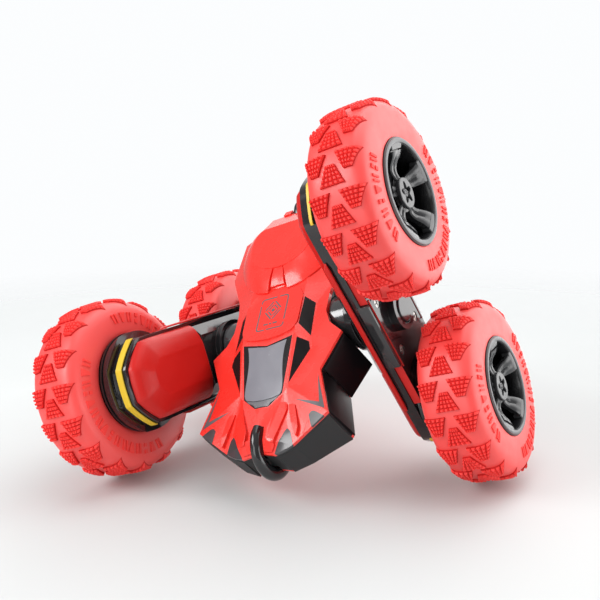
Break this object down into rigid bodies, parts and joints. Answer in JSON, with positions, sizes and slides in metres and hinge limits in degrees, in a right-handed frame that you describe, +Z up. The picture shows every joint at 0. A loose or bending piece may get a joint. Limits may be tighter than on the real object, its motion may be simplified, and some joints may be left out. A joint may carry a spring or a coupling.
{
  "type": "rc stunt car",
  "caption": "Double-sided remote-control stunt car: a flat faceted body between two swinging arms, each with a gear train and wheels with soft lugged tyres.",
  "frame": {"origin": "middle of the bounding box, on the floor that three of its tyres stand on", "axes": "+X across the car towards its right arm, level with the floor; +Y towards the tail; +Z up. The arm pivots' axis leans up to the right by 17.86 degrees."},
  "size_m": [0.1777, 0.165, 0.1535],
  "materials": {
    "red_gloss": "glossy",
    "black_gloss": "glossy",
    "black_matt": "matt",
    "tinted_window": "glossy",
    "rim_grey": "satin",
    "red_tyre": "matt",
    "yellow_stripe": "satin",
    "steel": "satin",
    "nylon": "satin",
    "motor_can": "satin",
    "gearbox_grey": "matt",
    "cell_wrap": "glossy",
    "board_green": "satin"
  },
  "bodies": {
    "body": {"side_frame": "black_gloss", "top_shell": "red_gloss", "bottom_shell": "red_gloss", "top_windscreen": "tinted_window", "bottom_windscreen": "tinted_window", "side_windows": "black_gloss", "bumper_teeth": "black_gloss", "front_tow_loop": "black_matt", "rear_tow_loop": "black_matt", "pivot_hubs": "black_gloss", "retaining_rings": "steel", "gearbox": "gearbox_grey", "drive_motors": "motor_can", "battery_pack": "cell_wrap", "battery_door": "red_gloss", "circuit_board": "board_green", "body_screws": "steel"},
    "power_switch": {"power_switch": "black_matt"},
    "left_arm": {"left_inner_cover": "red_gloss", "left_inner_insert": "black_gloss", "left_arm_frame": "black_matt", "left_outer_cover": "red_gloss", "left_centre_plate": "black_gloss", "left_stripes": "yellow_stripe", "left_pivot_cap": "black_gloss", "left_arm_screws": "steel"},
    "left_drive_gear": {"left_drive_gear": "nylon"},
    "left_front_idler_1": {"left_front_idler_1": "nylon"},
    "left_front_idler_2": {"left_front_idler_2": "nylon"},
    "front_left_wheel": {"front_left_tyre": "red_tyre", "front_left_rim": "rim_grey", "front_left_axle": "nylon", "front_left_hub_cap": "rim_grey"},
    "left_rear_idler_1": {"left_rear_idler_1": "nylon"},
    "left_rear_idler_2": {"left_rear_idler_2": "nylon"},
    "rear_left_wheel": {"rear_left_tyre": "red_tyre", "rear_left_rim": "rim_grey", "rear_left_axle": "nylon", "rear_left_hub_cap": "rim_grey"},
    "right_arm": {"right_inner_cover": "red_gloss", "right_inner_insert": "black_gloss", "right_arm_frame": "black_matt", "right_outer_cover": "red_gloss", "right_centre_plate": "black_gloss", "right_stripes": "yellow_stripe", "right_pivot_cap": "black_gloss", "right_arm_screws": "steel"},
    "right_drive_gear": {"right_drive_gear": "nylon"},
    "right_front_idler_1": {"right_front_idler_1": "nylon"},
    "right_front_idler_2": {"right_front_idler_2": "nylon"},
    "front_right_wheel": {"front_right_tyre": "red_tyre", "front_right_rim": "rim_grey", "front_right_axle": "nylon", "front_right_hub_cap": "rim_grey"},
    "right_rear_idler_1": {"right_rear_idler_1": "nylon"},
    "right_rear_idler_2": {"right_rear_idler_2": "nylon"},
    "rear_right_wheel": {"rear_right_tyre": "red_tyre", "rear_right_rim": "rim_grey", "rear_right_axle": "nylon", "rear_right_hub_cap": "rim_grey"}
  },
  "joints": [
    {"name": "left_arm_pivot", "type": "hinge", "parent": "body", "child": "left_arm", "pos_m": [-0.00631, 0, 0.05705], "axis": [0.9518, 0, 0.3068], "continuous": true},
    {"name": "front_left_wheel_spin", "type": "hinge", "parent": "left_arm", "child": "front_left_wheel", "pos_m": [-0.06746, -0.046, 0.03734], "axis": [0.9518, 0, 0.3068], "continuous": true},
    {"name": "left_front_idler_1_spin", "type": "hinge", "parent": "left_arm", "child": "left_front_idler_1", "pos_m": [-0.04519, -0.0152, 0.04452], "axis": [0.9518, 0, 0.3068], "continuous": true},
    {"name": "left_front_idler_2_spin", "type": "hinge", "parent": "left_arm", "child": "left_front_idler_2", "pos_m": [-0.04519, -0.0296, 0.04452], "axis": [0.9518, 0, 0.3068], "continuous": true},
    {"name": "rear_left_wheel_spin", "type": "hinge", "parent": "left_arm", "child": "rear_left_wheel", "pos_m": [-0.06746, 0.046, 0.03734], "axis": [0.9518, 0, 0.3068], "continuous": true},
    {"name": "left_rear_idler_1_spin", "type": "hinge", "parent": "left_arm", "child": "left_rear_idler_1", "pos_m": [-0.04519, 0.0152, 0.04452], "axis": [0.9518, 0, 0.3068], "continuous": true},
    {"name": "left_rear_idler_2_spin", "type": "hinge", "parent": "left_arm", "child": "left_rear_idler_2", "pos_m": [-0.04519, 0.0296, 0.04452], "axis": [0.9518, 0, 0.3068], "continuous": true},
    {"name": "left_drive_gear_spin", "type": "hinge", "parent": "left_arm", "child": "left_drive_gear", "pos_m": [-0.04519, 0, 0.04452], "axis": [0.9518, 0, 0.3068], "continuous": true},
    {"name": "right_arm_pivot", "type": "hinge", "parent": "body", "child": "right_arm", "pos_m": [-0.00631, 0, 0.05705], "axis": [0.9518, 0, 0.3068], "continuous": true},
    {"name": "front_right_wheel_spin", "type": "hinge", "parent": "right_arm", "child": "front_right_wheel", "pos_m": [0.06755, 0.02002, 0.03734], "axis": [0.9518, 0, 0.3068], "continuous": true},
    {"name": "right_front_idler_1_spin", "type": "hinge", "parent": "right_arm", "child": "right_front_idler_1", "pos_m": [0.03677, 0.00662, 0.05656], "axis": [0.9518, 0, 0.3068], "continuous": true},
    {"name": "right_front_idler_2_spin", "type": "hinge", "parent": "right_arm", "child": "right_front_idler_2", "pos_m": [0.04075, 0.01288, 0.04422], "axis": [0.9518, 0, 0.3068], "continuous": true},
    {"name": "rear_right_wheel_spin", "type": "hinge", "parent": "right_arm", "child": "rear_right_wheel", "pos_m": [0.04214, -0.02002, 0.11618], "axis": [0.9518, 0, 0.3068], "continuous": true},
    {"name": "right_rear_idler_1_spin", "type": "hinge", "parent": "right_arm", "child": "right_rear_idler_1", "pos_m": [0.02837, -0.00662, 0.08261], "axis": [0.9518, 0, 0.3068], "continuous": true},
    {"name": "right_rear_idler_2_spin", "type": "hinge", "parent": "right_arm", "child": "right_rear_idler_2", "pos_m": [0.0244, -0.01288, 0.09495], "axis": [0.9518, 0, 0.3068], "continuous": true},
    {"name": "right_drive_gear_spin", "type": "hinge", "parent": "right_arm", "child": "right_drive_gear", "pos_m": [0.03257, 0, 0.06958], "axis": [0.9518, 0, 0.3068], "continuous": true},
    {"name": "power_switch_slide", "type": "slide", "parent": "body", "child": "power_switch", "axis": [0.9518, 0, 0.3068], "range_m": [0, 0.003]}
  ],
  "couplings": [
    {"joint": "left_front_idler_1_spin", "follows": "front_left_wheel_spin", "ratio": 1.2778},
    {"joint": "left_front_idler_2_spin", "follows": "front_left_wheel_spin", "ratio": -1.2778},
    {"joint": "rear_left_wheel_spin", "follows": "front_left_wheel_spin", "ratio": 1},
    {"joint": "left_rear_idler_1_spin", "follows": "front_left_wheel_spin", "ratio": 1.2778},
    {"joint": "left_rear_idler_2_spin", "follows": "front_left_wheel_spin", "ratio": -1.2778},
    {"joint": "left_drive_gear_spin", "follows": "front_left_wheel_spin", "ratio": -1.15},
    {"joint": "right_front_idler_1_spin", "follows": "front_right_wheel_spin", "ratio": 1.2778},
    {"joint": "right_front_idler_2_spin", "follows": "front_right_wheel_spin", "ratio": -1.2778},
    {"joint": "rear_right_wheel_spin", "follows": "front_right_wheel_spin", "ratio": 1},
    {"joint": "right_rear_idler_1_spin", "follows": "front_right_wheel_spin", "ratio": 1.2778},
    {"joint": "right_rear_idler_2_spin", "follows": "front_right_wheel_spin", "ratio": -1.2778},
    {"joint": "right_drive_gear_spin", "follows": "front_right_wheel_spin", "ratio": -1.15}
  ]
}
